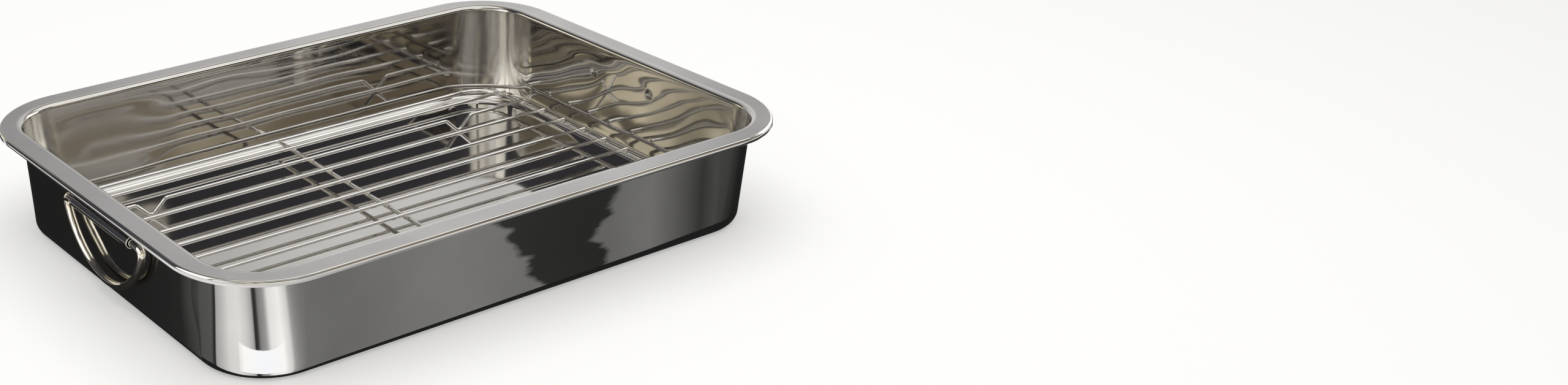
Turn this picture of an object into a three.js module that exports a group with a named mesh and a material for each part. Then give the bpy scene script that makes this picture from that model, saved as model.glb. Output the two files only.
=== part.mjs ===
// Stainless-steel roasting pan with two folding bail handles and a lift-out wire rack.
// Millimetres, +Z up. The origin is the middle of the underside, X runs along the length,
// and a handle hangs from a rolled hinge bracket at each short end.
import * as THREE from 'three';

// Pan body: one drawn sheet with a flat rim and a turned-down edge
const RIM_LENGTH = 360;
const RIM_WIDTH = 272;
const PAN_HEIGHT = 60;
const SHEET = 0.6;
const RIM_CORNER_RADIUS = 48;
const RIM_FLAT_WIDTH = 10.7;
const MOUTH_CORNER_RADIUS = 33;
const RIM_BEND_RADIUS = 3.1;
const EDGE_ROUND_RADIUS = 1.6;
const EDGE_DROP = 3;
const WALL_DRAFT = 1;
const FLOOR_CORNER_RADIUS = 30;
const FLOOR_FILLET_RADIUS = 5.4;

// Hinge brackets: a flat leaf spot-welded to the end wall, its lower edge rolled round the wire
const BRACKET_LENGTH = 60;
const BRACKET_SHEET = 0.6;
const BRACKET_BORE = 5.2;
const BRACKET_AXIS_BELOW_RIM = 15.8;
const LEAF_ABOVE_AXIS = 5;
const ROLL_ANGLE = THREE.MathUtils.degToRad(305);
const SEAT_GAP = 0.3;

// Bail handles: round wire, with ends turned into the rolled brackets
const HANDLE_WIRE = 4.3;
const HANDLE_INSERTION = 20;
const HANDLE_ELBOW_BEYOND_BRACKET = 11.8;
const ELBOW_DEPTH = 6;
const GRIP_CENTRE_ABOVE_AXIS = 14;
const HANDLE_ABOVE_TABLE = 9.8;

// Rack: a frame wire and a middle cross bar under eleven welded long bars, two of them with feet
const FRAME_WIRE = 2.4;
const BAR_WIRE = 2.2;
const BAR_COUNT = 11;
const BAR_OVERHANG = 1;
const FRAME_CORNER_RADIUS = 20;
const FRAME_END_CLEARANCE = 9.2;
const FRAME_SIDE_CLEARANCE = 5.5;
const FRAME_ABOVE_FLOOR = 6.5;
const FRAME_BUTT_GAP = 0.3;
const FOOT_BARS = [2, BAR_COUNT - 1];
const FOOT_FROM_FRAME_END = 49.8;
const FOOT_WIDTH = 21;
const FOOT_BEND_RADIUS = 3;

// Faceting
const CORNER_STEPS = 10;
const BEND_STEPS = 4;
const FILLET_STEPS = 5;
const ROLL_STEPS = 20;
const WIRE_SIDES = 10;
const THIN_WIRE_SIDES = 8;
const HANDLE_ARC_STEPS = 8;
const RACK_ARC_STEPS = 4;
const SAME_POINT = 1e-6;

// Polished steels
const PAN_STEEL = { color: 0xc4c1bc, roughness: 0.16 };
const BRACKET_STEEL = { color: 0xc9c7c2, roughness: 0.2 };
const HANDLE_STEEL = { color: 0xd2cfc8, roughness: 0.12 };
const RACK_STEEL = { color: 0xd4d2cd, roughness: 0.12 };

const QUARTER_TURN = Math.PI / 2;

const node = (name, geometry, steel) => {
  const material = new THREE.MeshStandardMaterial({ ...steel, metalness: 1 });
  const mesh = new THREE.Mesh(geometry, material);
  mesh.name = name;
  return mesh;
};

// Joins rings of equal length into one skin and caps both ends
function skinRings(rings) {
  const count = rings[0].length;
  const positions = rings.flat().flatMap((point) => point.toArray());
  const triangles = [];
  const end = (rings.length - 1) * count;
  for (let here = 0; here < end; here += count) {
    const next = here + count;
    for (let i = 0; i < count; i += 1) {
      const j = (i + 1) % count;
      triangles.push(here + i, here + j, next + j, here + i, next + j, next + i);
    }
  }
  for (let i = 1; i < count - 1; i += 1) {
    triangles.push(0, i + 1, i);
    triangles.push(end, end + i, end + i + 1);
  }
  const geometry = new THREE.BufferGeometry();
  geometry.setAttribute('position', new THREE.Float32BufferAttribute(positions, 3));
  geometry.setIndex(triangles);
  geometry.computeVertexNormals();
  return geometry;
}

// A level rounded rectangle, counter-clockwise seen from above
function roundedRectangleRing(halfLength, halfWidth, radius, z) {
  const centres = [[1, 1], [-1, 1], [-1, -1], [1, -1]];
  return centres.flatMap(([signX, signY], corner) => {
    const centre = new THREE.Vector2(signX * (halfLength - radius), signY * (halfWidth - radius));
    return Array.from({ length: CORNER_STEPS + 1 }, (unused, step) => {
      const angle = (corner + step / CORNER_STEPS) * QUARTER_TURN;
      return new THREE.Vector3(
        centre.x + radius * Math.cos(angle), centre.y + radius * Math.sin(angle), z);
    });
  });
}

// Points of a circular arc in a profile, both ends included
function arcPoints(centreX, centreY, radius, from, to, steps) {
  return Array.from({ length: steps + 1 }, (unused, step) => {
    const angle = from + (to - from) * step / steps;
    return [centreX + radius * Math.cos(angle), centreY + radius * Math.sin(angle)];
  });
}

// Sweeps a round wire along the points of a flat path; toSpace puts a point and an offset into 3-D
function sweepWire(pathPoints, diameter, sides, toSpace) {
  const points = pathPoints.filter(
    (point, i, all) => i === 0 || point.distanceTo(all[i - 1]) > SAME_POINT);
  const rings = points.map((point, i) => {
    const before = point.clone().sub(points[Math.max(i - 1, 0)]).normalize();
    const after = points[Math.min(i + 1, points.length - 1)].clone().sub(point).normalize();
    const along = before.clone().add(after).normalize();
    const straight = i === 0 ? after : before;
    const mitre = 1 / along.dot(straight);
    const sideways = new THREE.Vector2(-along.y, along.x).multiplyScalar(mitre);
    return Array.from({ length: sides }, (unused, side) => {
      const angle = (side + 0.5) / sides * Math.PI * 2;
      const across = diameter / 2 * Math.cos(angle);
      const up = diameter / 2 * Math.sin(angle);
      return toSpace(point.clone().addScaledVector(sideways, across), up);
    });
  });
  return skinRings(rings);
}

const inLevelPlane = (z) => (point, up) => new THREE.Vector3(point.x, point.y, z + up);
const inLengthwisePlane = (y) => (point, up) => new THREE.Vector3(point.x, y - up, point.y);
const inEndPlane = (point, up) => new THREE.Vector3(up, point.x, point.y);

// Pan body
const wallTopInset = RIM_FLAT_WIDTH + RIM_BEND_RADIUS;
const wallFootInset = wallTopInset + WALL_DRAFT;
const wallTopZ = PAN_HEIGHT - RIM_BEND_RADIUS;
const wallFootZ = SHEET + FLOOR_FILLET_RADIUS;
const floorInset = wallFootInset + FLOOR_FILLET_RADIUS;

const rimCorner = (inset) => (
  RIM_CORNER_RADIUS - (RIM_CORNER_RADIUS - MOUTH_CORNER_RADIUS) * inset / RIM_FLAT_WIDTH);
const bendCorner = (inset) => MOUTH_CORNER_RADIUS + RIM_FLAT_WIDTH - inset;
const filletCorner = (inset) => FLOOR_CORNER_RADIUS + floorInset - inset;

function panBody() {
  const ring = ([inset, z], corner) => roundedRectangleRing(
    RIM_LENGTH / 2 - inset, RIM_WIDTH / 2 - inset, corner(inset), z);
  const edgeCentreZ = PAN_HEIGHT - EDGE_ROUND_RADIUS;
  const edgeFootZ = PAN_HEIGHT - EDGE_DROP;
  const fillet = (radius) => arcPoints(
    floorInset, wallFootZ, radius, -QUARTER_TURN, -2 * QUARTER_TURN, FILLET_STEPS);
  const bend = (radius) => arcPoints(RIM_FLAT_WIDTH, wallTopZ, radius, 0, QUARTER_TURN, BEND_STEPS);
  const edge = (radius) => arcPoints(
    EDGE_ROUND_RADIUS, edgeCentreZ, radius, QUARTER_TURN, 2 * QUARTER_TURN, BEND_STEPS);
  const rings = [
    ...fillet(FLOOR_FILLET_RADIUS).map((point) => ring(point, filletCorner)),
    ...bend(RIM_BEND_RADIUS).map((point) => ring(point, bendCorner)),
    ...edge(EDGE_ROUND_RADIUS).map((point) => ring(point, rimCorner)),
    ring([0, edgeFootZ], rimCorner),
    ring([SHEET, edgeFootZ], rimCorner),
    ...edge(EDGE_ROUND_RADIUS - SHEET).reverse().map((point) => ring(point, rimCorner)),
    ...bend(RIM_BEND_RADIUS - SHEET).reverse().map((point) => ring(point, bendCorner)),
    ...fillet(FLOOR_FILLET_RADIUS + SHEET).reverse().map((point) => ring(point, filletCorner)),
  ];
  return skinRings(rings.reverse());
}

// Hinge brackets and handles, built for the end at -X and turned round for the other one
const wallDraftSlope = WALL_DRAFT / (wallTopZ - wallFootZ);
const endWallX = (z) => (
  RIM_LENGTH / 2 - wallTopInset + SHEET - (wallTopZ - z) * wallDraftSlope);
const hingeZ = PAN_HEIGHT - BRACKET_AXIS_BELOW_RIM;
const rollRadius = (BRACKET_BORE + BRACKET_SHEET) / 2;
const leafX = endWallX(hingeZ + LEAF_ABOVE_AXIS) + SEAT_GAP;
const hingeX = leafX + BRACKET_SHEET / 2 + rollRadius;

function hingeBracket() {
  // The section lies in x (away from the pan) and z, with the hinge axis at its origin
  const half = BRACKET_SHEET / 2;
  const rollEnd = Math.PI + ROLL_ANGLE;
  const inner = arcPoints(0, 0, rollRadius - half, Math.PI, rollEnd, ROLL_STEPS);
  const outer = arcPoints(0, 0, rollRadius + half, Math.PI, rollEnd, ROLL_STEPS);
  const section = [
    [-rollRadius + half, LEAF_ABOVE_AXIS],
    ...inner,
    ...outer.reverse(),
    [-rollRadius - half, LEAF_ABOVE_AXIS],
  ];
  const outline = new THREE.Shape(section.map(([x, z]) => new THREE.Vector2(-x, z)));
  const geometry = new THREE.ExtrudeGeometry(outline, { depth: BRACKET_LENGTH, bevelEnabled: false });
  geometry.rotateX(QUARTER_TURN);
  geometry.translate(0, BRACKET_LENGTH / 2, 0);
  return geometry;
}

function bailHandle() {
  // Drawn in y and z with the hinge axis at its origin: the grip is part of an ellipse, and each
  // elbow turns from the axis to the tangent of the grip's end
  const bracketEnd = BRACKET_LENGTH / 2;
  const elbowY = bracketEnd + HANDLE_ELBOW_BEYOND_BRACKET;
  const drop = hingeZ - HANDLE_ABOVE_TABLE - HANDLE_WIRE / 2;
  const ellipseHeight = drop + GRIP_CENTRE_ABOVE_AXIS;
  const gripEnd = GRIP_CENTRE_ABOVE_AXIS + ELBOW_DEPTH;
  const gripAngle = Math.asin(gripEnd / ellipseHeight);
  const ellipseWidth = elbowY * Math.cos(gripAngle)
    / (1 - gripEnd * GRIP_CENTRE_ABOVE_AXIS / ellipseHeight ** 2);
  const gripEndY = ellipseWidth * Math.cos(gripAngle);
  const elbowStartY = elbowY - Math.hypot(elbowY - gripEndY, ELBOW_DEPTH);
  const path = new THREE.Path();
  path.moveTo(-(bracketEnd - HANDLE_INSERTION), 0);
  path.lineTo(-elbowStartY, 0);
  path.quadraticCurveTo(-elbowY, 0, -gripEndY, -ELBOW_DEPTH);
  path.absellipse(
    0, GRIP_CENTRE_ABOVE_AXIS, ellipseWidth, ellipseHeight, Math.PI + gripAngle, -gripAngle, false);
  path.quadraticCurveTo(elbowY, 0, elbowStartY, 0);
  path.lineTo(bracketEnd - HANDLE_INSERTION, 0);
  return sweepWire(path.getPoints(HANDLE_ARC_STEPS), HANDLE_WIRE, WIRE_SIDES, inEndPlane);
}

function hingedEnd(name, turn) {
  const end = new THREE.Group();
  const hinge = new THREE.Group();
  hinge.position.set(-hingeX, 0, hingeZ);
  hinge.add(node(`hinge_bracket_${name}`, hingeBracket(), BRACKET_STEEL));
  hinge.add(node(`handle_${name}`, bailHandle(), HANDLE_STEEL));
  end.rotation.z = turn;
  end.add(hinge);
  return end;
}

// Rack
const frameHalfLength = RIM_LENGTH / 2 - wallFootInset - FRAME_END_CLEARANCE - FRAME_WIRE / 2;
const frameHalfWidth = RIM_WIDTH / 2 - wallFootInset - FRAME_SIDE_CLEARANCE - FRAME_WIRE / 2;
const frameZ = SHEET + FRAME_ABOVE_FLOOR;
const barZ = frameZ + (FRAME_WIRE + BAR_WIRE) / 2 + SEAT_GAP;
const barPitch = 2 * frameHalfWidth / (BAR_COUNT + 1);
const footTipZ = SHEET + SEAT_GAP + BAR_WIRE / 2;

function rackFrame() {
  // One wire bent round four corners, butted in the middle of a long side
  const corner = FRAME_CORNER_RADIUS;
  const straightX = frameHalfLength - corner;
  const straightY = frameHalfWidth - corner;
  const path = new THREE.Path();
  path.moveTo(FRAME_BUTT_GAP / 2, -frameHalfWidth);
  path.lineTo(straightX, -frameHalfWidth);
  path.absarc(straightX, -straightY, corner, -QUARTER_TURN, 0, false);
  path.lineTo(frameHalfLength, straightY);
  path.absarc(straightX, straightY, corner, 0, QUARTER_TURN, false);
  path.lineTo(-straightX, frameHalfWidth);
  path.absarc(-straightX, straightY, corner, QUARTER_TURN, 2 * QUARTER_TURN, false);
  path.lineTo(-frameHalfLength, -straightY);
  path.absarc(-straightX, -straightY, corner, 2 * QUARTER_TURN, 3 * QUARTER_TURN, false);
  path.lineTo(-FRAME_BUTT_GAP / 2, -frameHalfWidth);
  return sweepWire(path.getPoints(RACK_ARC_STEPS), FRAME_WIRE, THIN_WIRE_SIDES, inLevelPlane(frameZ));
}

function rackCrossBar() {
  const reach = frameHalfWidth - FRAME_WIRE / 2 - SEAT_GAP;
  const path = new THREE.Path();
  path.moveTo(0, -reach);
  path.lineTo(0, reach);
  return sweepWire(path.getPoints(RACK_ARC_STEPS), FRAME_WIRE, THIN_WIRE_SIDES, inLevelPlane(frameZ));
}

// Adds a V-shaped foot to a bar: a rounded shoulder, a leg, a rounded tip, a leg and a shoulder
function addFoot(path, centreX) {
  const depth = barZ - footTipZ;
  const halfWidth = FOOT_WIDTH / 2;
  const radius = FOOT_BEND_RADIUS;
  // The legs' slope for which the bends and the straight legs fill the width and the depth
  const spareRise = 2 * radius - depth;
  const legAngle = (
    Math.asin(2 * radius / Math.hypot(halfWidth, spareRise)) - Math.atan2(spareRise, halfWidth));
  path.lineTo(centreX - halfWidth, barZ);
  path.absarc(centreX - halfWidth, barZ - radius, radius, QUARTER_TURN, QUARTER_TURN - legAngle, true);
  path.absarc(
    centreX, footTipZ + radius, radius, -QUARTER_TURN - legAngle, -QUARTER_TURN + legAngle, false);
  path.absarc(centreX + halfWidth, barZ - radius, radius, QUARTER_TURN + legAngle, QUARTER_TURN, true);
}

function rackBar(number) {
  const y = (number - (BAR_COUNT + 1) / 2) * barPitch;
  const reach = frameHalfLength + BAR_OVERHANG;
  const path = new THREE.Path();
  path.moveTo(-reach, barZ);
  if (FOOT_BARS.includes(number)) {
    const footX = frameHalfLength - FOOT_FROM_FRAME_END;
    addFoot(path, -footX);
    addFoot(path, footX);
  }
  path.lineTo(reach, barZ);
  return sweepWire(path.getPoints(RACK_ARC_STEPS), BAR_WIRE, THIN_WIRE_SIDES, inLengthwisePlane(y));
}

function wireRack() {
  const rack = new THREE.Group();
  rack.add(node('rack_frame', rackFrame(), RACK_STEEL));
  rack.add(node('rack_cross_bar', rackCrossBar(), RACK_STEEL));
  for (let number = 1; number <= BAR_COUNT; number += 1) {
    rack.add(node(`rack_bar_${number}`, rackBar(number), RACK_STEEL));
  }
  return rack;
}

const roastingPan = new THREE.Group();
roastingPan.add(node('pan_body', panBody(), PAN_STEEL));
roastingPan.add(hingedEnd('left', 0), hingedEnd('right', Math.PI));
roastingPan.add(wireRack());

export default roastingPan;
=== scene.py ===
"""Stainless roasting pan with wire rack: fine meshes, steel materials, studio light and camera.

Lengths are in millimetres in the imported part's frame and become metres where a mesh is made.
"""

import math

import bmesh
import bpy
import numpy as np
from mathutils import Matrix, Vector


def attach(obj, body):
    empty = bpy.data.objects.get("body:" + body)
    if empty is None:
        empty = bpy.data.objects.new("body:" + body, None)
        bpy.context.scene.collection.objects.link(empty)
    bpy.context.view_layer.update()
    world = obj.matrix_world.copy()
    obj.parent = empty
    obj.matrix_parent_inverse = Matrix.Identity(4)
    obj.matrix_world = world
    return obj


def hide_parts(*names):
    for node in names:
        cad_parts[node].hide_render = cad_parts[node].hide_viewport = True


MM = 0.001
QUARTER = math.pi / 2
SAME_PLACE = 0.0001

# Pan body
RIM_LENGTH = 360
RIM_WIDTH = 272
PAN_HEIGHT = 60
SHEET = 0.6
RIM_CORNER_RADIUS = 48
RIM_FLAT_WIDTH = 10.7
MOUTH_CORNER_RADIUS = 33
RIM_BEND_RADIUS = 3.1
EDGE_ROUND_RADIUS = 1.6
EDGE_DROP = 3
WALL_DRAFT = 1
FLOOR_CORNER_RADIUS = 30
FLOOR_FILLET_RADIUS = 5.4

# Hinge brackets and handles
BRACKET_LENGTH = 60
BRACKET_SHEET = 0.6
BRACKET_BORE = 5.2
BRACKET_AXIS_BELOW_RIM = 15.8
BRACKET_EDGE_ROUND = 0.14
LEAF_ABOVE_AXIS = 5
ROLL_ANGLE = math.radians(305)
SEAT_GAP = 0.3
HANDLE_WIRE = 4.3
HANDLE_INSERTION = 20
HANDLE_ELBOW_BEYOND_BRACKET = 11.8
ELBOW_DEPTH = 6
GRIP_CENTRE_ABOVE_AXIS = 14
HANDLE_ABOVE_TABLE = 9.8

# Rack
FRAME_WIRE = 2.4
BAR_WIRE = 2.2
BAR_COUNT = 11
BAR_OVERHANG = 1
FRAME_CORNER_RADIUS = 20
FRAME_END_CLEARANCE = 9.2
FRAME_SIDE_CLEARANCE = 5.5
FRAME_ABOVE_FLOOR = 6.5
FOOT_BARS = (2, BAR_COUNT - 1)
FOOT_FROM_FRAME_END = 49.8
FOOT_WIDTH = 21
FOOT_BEND_RADIUS = 3

# Marks of making: the drawn sheet is a little wavy, the back wall bulges near its left end, each spot weld
# leaves a dimple in an end wall, the rack's joints have weld nuggets and its bars bow slightly
END_WALL_WAVE = 0.12
SIDE_WALL_WAVE = 0.045
CORNER_WAVE = 0.008
WALL_WAVE_FADE = 12
FLOOR_WAVE = 0.05
FLOOR_WAVE_FADE = 30
BULGE_DEPTH = 1
BULGE_X = (-152, -118, -98, -60)
BULGE_Z = 27
BULGE_HALF_HEIGHT = 25
WELD_MARK_Y = 24
WELD_MARK_Z = 42
WELD_MARK_RADIUS = 3.2
WELD_MARK_FLAT_RADIUS = 1.12
WELD_MARK_DEPTH = 0.5
WELD_PULL_RADIUS = 13
WELD_PULL_DEPTH = 0.12
NUGGET_RADII = (1.15, 1.15, 0.69)
WIRE_CHAMFER_SHARE = 0.12
WIRE_BOW = 0.12
WIRE_BOW_LENGTH = 38
WIRE_BOW_LENGTH_STEP = 3
WIRE_BOW_START_STEP = 1.7

# Sine waves of the sheet: (share, radians per mm along, radians per mm across, start)
END_WAVES = ((1, 1 / 9.5, 0.055, 0.6), (0.8, 1 / 15.7, -1 / 11, 2.1), (0.5, 1 / 5.9, 1 / 17, 0))
SIDE_WAVES = ((1, 1 / 31, 1 / 23, 1.1), (0.7, 1 / 17, -1 / 14, 0), (0.35, 1 / 8.3, 1 / 9, 0))
FLOOR_WAVES = ((0.25, 1 / 34, 1 / 47, 0), (0.25, -1 / 58, 1 / 21, 1))

# Where the stretched sheet turns duller, from and to
DULL_CORNER_X = (127, 143)
DULL_CORNER_Y = (82, 98)
DULL_BULGE_X = (-100, -55)
DULL_BULGE_SHARE = 0.8
DULL_ABOVE_FLOOR = (6, 16)

# Fineness of the meshes
WALL_STEP = 2.4
SIDE_STEPS = 104
CORNER_STEPS = 22
FLOOR_STEPS = 21
FILLET_STEPS = 9
BEND_STEPS = 9
RIM_STEPS = 5
RIM_MARGIN = 0.4
EDGE_STEPS = 7
ROLL_STEPS = 48
LEAF_STEPS = 4
HANDLE_SIDES = 36
INSERTION_STEPS = 5
ELBOW_STEPS = 16
HALF_GRIP_STEPS = 39
RACK_WIRE_SIDES = 20
FRAME_CORNER_STEPS = 16
FOOT_SHOULDER_STEPS = 8
FOOT_TIP_STEPS = 12
RUN_STEPS = 23
NUGGET_ROWS = 6
NUGGET_COLUMNS = 12
STRIP_STEPS = 64

# Edges that turn by more than these degrees stay crisp
PLAIN_CREASE = 40
PAN_CREASE = 35
BRACKET_CREASE = 30
BRACKET_BEVEL_CREASE = 50
WIRE_CREASE = 50
NUGGET_CREASE = 60

# Camera, fitted to the photograph
CAMERA_PLACE = (-538.34, -784.84, 440.36)
CAMERA_AIM = (22.9, 32.17, 0)
CAMERA_ROLL = math.radians(-0.541)
CAMERA_SENSOR = 36
CAMERA_LENS = 43.903
CAMERA_SHIFT = (0.25215, -0.00234)

# Studio: the pale floor, the world's light, and where the cards lie, stand and hang
FLOOR_HALF = 4000
FLOOR_PAPER = 0.86
FLOOR_LIFT = 0.37
WORLD_STRENGTH = 0.45
BOARD_Z = 0.3
SKIRT_Z = 0.5
PAPER_Z = 0.7
APRON_START = 20
APRON_REACH = 260
FRONT_Y = -250
LEFT_NEAR_X = -300
LEFT_FAR_X = -420
ROOM_TOP = 900
CEILING_Z = 1200

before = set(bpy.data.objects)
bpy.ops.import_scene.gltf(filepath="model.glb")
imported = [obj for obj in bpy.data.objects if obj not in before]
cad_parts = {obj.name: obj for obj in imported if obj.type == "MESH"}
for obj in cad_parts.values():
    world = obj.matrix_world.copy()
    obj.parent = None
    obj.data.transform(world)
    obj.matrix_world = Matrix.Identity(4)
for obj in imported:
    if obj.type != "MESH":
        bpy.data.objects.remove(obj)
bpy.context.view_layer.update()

wall_top_inset = RIM_FLAT_WIDTH + RIM_BEND_RADIUS
wall_foot_inset = wall_top_inset + WALL_DRAFT
wall_top_z = PAN_HEIGHT - RIM_BEND_RADIUS
wall_foot_z = SHEET + FLOOR_FILLET_RADIUS
floor_inset = wall_foot_inset + FLOOR_FILLET_RADIUS


def add_object(name, points, faces, crease=PLAIN_CREASE):
    """A mesh object from points in millimetres, smooth but for its creases."""
    mesh = bpy.data.meshes.new(name)
    mesh.from_pydata((np.asarray(points) * MM).tolist(), [], faces)
    mesh.update()
    mesh.polygons.foreach_set("use_smooth", [True] * len(mesh.polygons))
    mesh.set_sharp_from_angle(angle=math.radians(crease))
    thing = bpy.data.objects.new(name, mesh)
    bpy.context.scene.collection.objects.link(thing)
    return thing


def merge_points(thing, crease):
    """Joins points that share one place, such as the poles of a ball, and drops the faces that vanish."""
    mesh = thing.data
    work = bmesh.new()
    work.from_mesh(mesh)
    bmesh.ops.remove_doubles(work, verts=work.verts, dist=SAME_PLACE * MM)
    work.to_mesh(mesh)
    work.free()
    mesh.set_sharp_from_angle(angle=math.radians(crease))


def smooth_step(low, high, value):
    """0 below low, 1 above high, and a smooth rise between them."""
    share = np.clip((np.asarray(value, float) - low) / (high - low), 0, 1)
    return share * share * (3 - 2 * share)


def waves(rows, along, across):
    """The sum of slanting sine waves, given in rows as END_WAVES is."""
    return sum(
        share * np.sin(turn_along * along + turn_across * across + start)
        for share, turn_along, turn_across, start in rows
    )


def arc(centre_x, centre_y, radius, start, end, steps):
    """Points of a circular arc, both ends included."""
    angles = np.linspace(start, end, steps + 1)
    return np.stack([centre_x + radius * np.cos(angles), centre_y + radius * np.sin(angles)], 1)


def quadratic(start, control, end, steps):
    """Points of a quadratic curve between start and end, both included."""
    share = np.linspace(0, 1, steps + 1)[:, None]
    start, control, end = (np.array(point, float) for point in (start, control, end))
    return (1 - share) ** 2 * start + 2 * share * (1 - share) * control + share**2 * end


def spaced(low, high, step, fine_at, fine_half=7, fine_step=0.8):
    """Values from low to high about a step apart, closer together near the places in fine_at."""
    values = list(np.linspace(low, high, max(2, round((high - low) / step) + 1)))
    for place in fine_at:
        values = [value for value in values if abs(value - place) > fine_half]
        values += list(np.arange(place - fine_half, place + fine_half + fine_step / 2, fine_step))
    return np.array(sorted(values))


# Pan body

weld_marks = (-WELD_MARK_Y, WELD_MARK_Y)
end_half = RIM_WIDTH / 2 - RIM_CORNER_RADIUS

# Where points lie along the straight sides and ends of every level ring, as shares of their length
side_shares = np.linspace(0, 1, SIDE_STEPS + 1)[1:-1]
end_shares = (spaced(-end_half, end_half, WALL_STEP, weld_marks)[1:-1] / end_half + 1) / 2


def pan_ring(inset, corner, z):
    """Points and outward level normals of a rounded rectangle, counter-clockwise from +X."""
    half_length = RIM_LENGTH / 2 - inset
    half_width = RIM_WIDTH / 2 - inset
    bends, outwards = [], []
    for quadrant, (sign_x, sign_y) in enumerate(((1, 1), (-1, 1), (-1, -1), (1, -1))):
        angles = (quadrant + np.linspace(0, 1, CORNER_STEPS + 1)) * QUARTER
        outward = np.stack([np.cos(angles), np.sin(angles)], 1)
        centre = np.array([sign_x * (half_length - corner), sign_y * (half_width - corner)])
        bends.append(centre + corner * outward)
        outwards.append(outward)
    points, normals = [], []
    for quadrant in range(4):
        shares = side_shares if quadrant % 2 == 0 else end_shares
        start, end = bends[quadrant][-1], bends[(quadrant + 1) % 4][0]
        points += [bends[quadrant], start + shares[:, None] * (end - start)]
        normals += [outwards[quadrant], np.tile(outwards[quadrant][-1], (len(shares), 1))]
    flat = np.concatenate(points)
    level = np.full((len(flat), 1), z)
    return np.hstack([flat, level]), np.concatenate(normals)


def rim_corner(inset):
    return RIM_CORNER_RADIUS - (RIM_CORNER_RADIUS - MOUTH_CORNER_RADIUS) * inset / RIM_FLAT_WIDTH


def bend_corner(inset):
    return MOUTH_CORNER_RADIUS + RIM_FLAT_WIDTH - inset


def fillet_corner(inset):
    return FLOOR_CORNER_RADIUS + floor_inset - inset


def floor_corner(inset):
    """The floor's rings shrink to a seam along its middle, with no corner radius left there."""
    return FLOOR_CORNER_RADIUS * (RIM_WIDTH / 2 - inset) / (RIM_WIDTH / 2 - floor_inset)


def wall_wave(points, normals):
    """How far the drawn wall strays along its level normal: waves, a bulge and the pull of the welds."""
    x, y, z = points.T
    end_share, side_share = normals.T**2
    wave = END_WALL_WAVE * waves(END_WAVES, y, z) * end_share**4
    wave += SIDE_WALL_WAVE * waves(SIDE_WAVES, x, z) * side_share**4
    # Upright ripples round the corners
    ripples = np.sin(9 * normals[:, 0]) + 0.6 * np.sin(23 * normals[:, 1] + z / 40)
    wave += CORNER_WAVE * ripples * 4 * end_share * side_share
    rise_start, rise_end, fall_start, fall_end = BULGE_X
    bulge = smooth_step(rise_start, rise_end, x) - smooth_step(fall_start, fall_end, x)
    bulge *= np.clip(1 - ((z - BULGE_Z) / BULGE_HALF_HEIGHT) ** 2, 0, 1)
    wave += BULGE_DEPTH * bulge * side_share * (normals[:, 1] > 0)
    for mark in weld_marks:
        distance = np.hypot(y - mark, z - WELD_MARK_Z)
        pull = WELD_PULL_DEPTH * np.exp(-((distance / WELD_PULL_RADIUS) ** 2))
        crater = WELD_MARK_DEPTH * (1 - smooth_step(WELD_MARK_FLAT_RADIUS, WELD_MARK_RADIUS, distance))
        wave += end_share * (pull + crater)
    above_foot = smooth_step(wall_foot_z, wall_foot_z + WALL_WAVE_FADE, z)
    below_top = 1 - smooth_step(wall_top_z - WALL_WAVE_FADE, wall_top_z, z)
    return wave * above_foot * below_top


def floor_wave(points, inset):
    """The floor's slight waves, which end at its fillet and never reach below the table."""
    x, y = points[:, :2].T
    wave = 0.5 + waves(FLOOR_WAVES, x, y)
    return FLOOR_WAVE * wave * smooth_step(floor_inset, floor_inset + FLOOR_WAVE_FADE, inset)


# Places of the pan's materials in its list
OUTSIDE, INSIDE, RIM = range(3)


def pan_profile():
    """Rows of (inset, z, corner radius, finish) from the floor's middle over the rim to the underside."""
    edge_z = PAN_HEIGHT - EDGE_ROUND_RADIUS
    edge_foot_z = PAN_HEIGHT - EDGE_DROP
    floor_insets = np.linspace(RIM_WIDTH / 2, floor_inset, FLOOR_STEPS + 1)[:-1]
    rim_insets = np.linspace(RIM_FLAT_WIDTH - RIM_MARGIN, EDGE_ROUND_RADIUS + RIM_MARGIN, RIM_STEPS + 1)
    wall_z = spaced(wall_foot_z, wall_top_z, WALL_STEP, (WELD_MARK_Z,))
    wall_share = (wall_z - wall_foot_z) / (wall_top_z - wall_foot_z)

    def rows(points, corner, finish):
        return [(inset, z, corner(inset), finish) for inset, z in points]

    def wall(offset, finish):
        top = wall_top_inset - offset
        foot = wall_foot_inset - offset
        insets = foot + (top - foot) * wall_share
        corners = fillet_corner(foot) + (bend_corner(top) - fillet_corner(foot)) * wall_share
        return [(*row, finish) for row in zip(insets, wall_z, corners)]

    def skin(offset, finish):
        """One face of the sheet from the floor's middle to the turned-down edge's foot."""
        fillet_radius = FLOOR_FILLET_RADIUS + offset
        bend_radius = RIM_BEND_RADIUS - offset
        edge_radius = EDGE_ROUND_RADIUS - offset
        floor = [(inset, SHEET - offset) for inset in floor_insets]
        fillet = arc(floor_inset, wall_foot_z, fillet_radius, -QUARTER, -2 * QUARTER, FILLET_STEPS)
        bend = arc(RIM_FLAT_WIDTH, wall_top_z, bend_radius, 0, QUARTER, BEND_STEPS)
        flat = [(inset, PAN_HEIGHT - offset) for inset in rim_insets]
        edge = arc(EDGE_ROUND_RADIUS, edge_z, edge_radius, QUARTER, 2 * QUARTER, EDGE_STEPS)
        return (
            rows(floor, floor_corner, finish)
            + rows(fillet, fillet_corner, finish)
            + wall(offset, finish)[1:-1]
            + rows(bend, bend_corner, finish)
            + rows(flat, rim_corner, RIM)
            + rows(edge, rim_corner, OUTSIDE)
            + rows([(offset, edge_foot_z)], rim_corner, OUTSIDE)
        )

    return skin(0, INSIDE) + skin(SHEET, OUTSIDE)[::-1]


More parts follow.
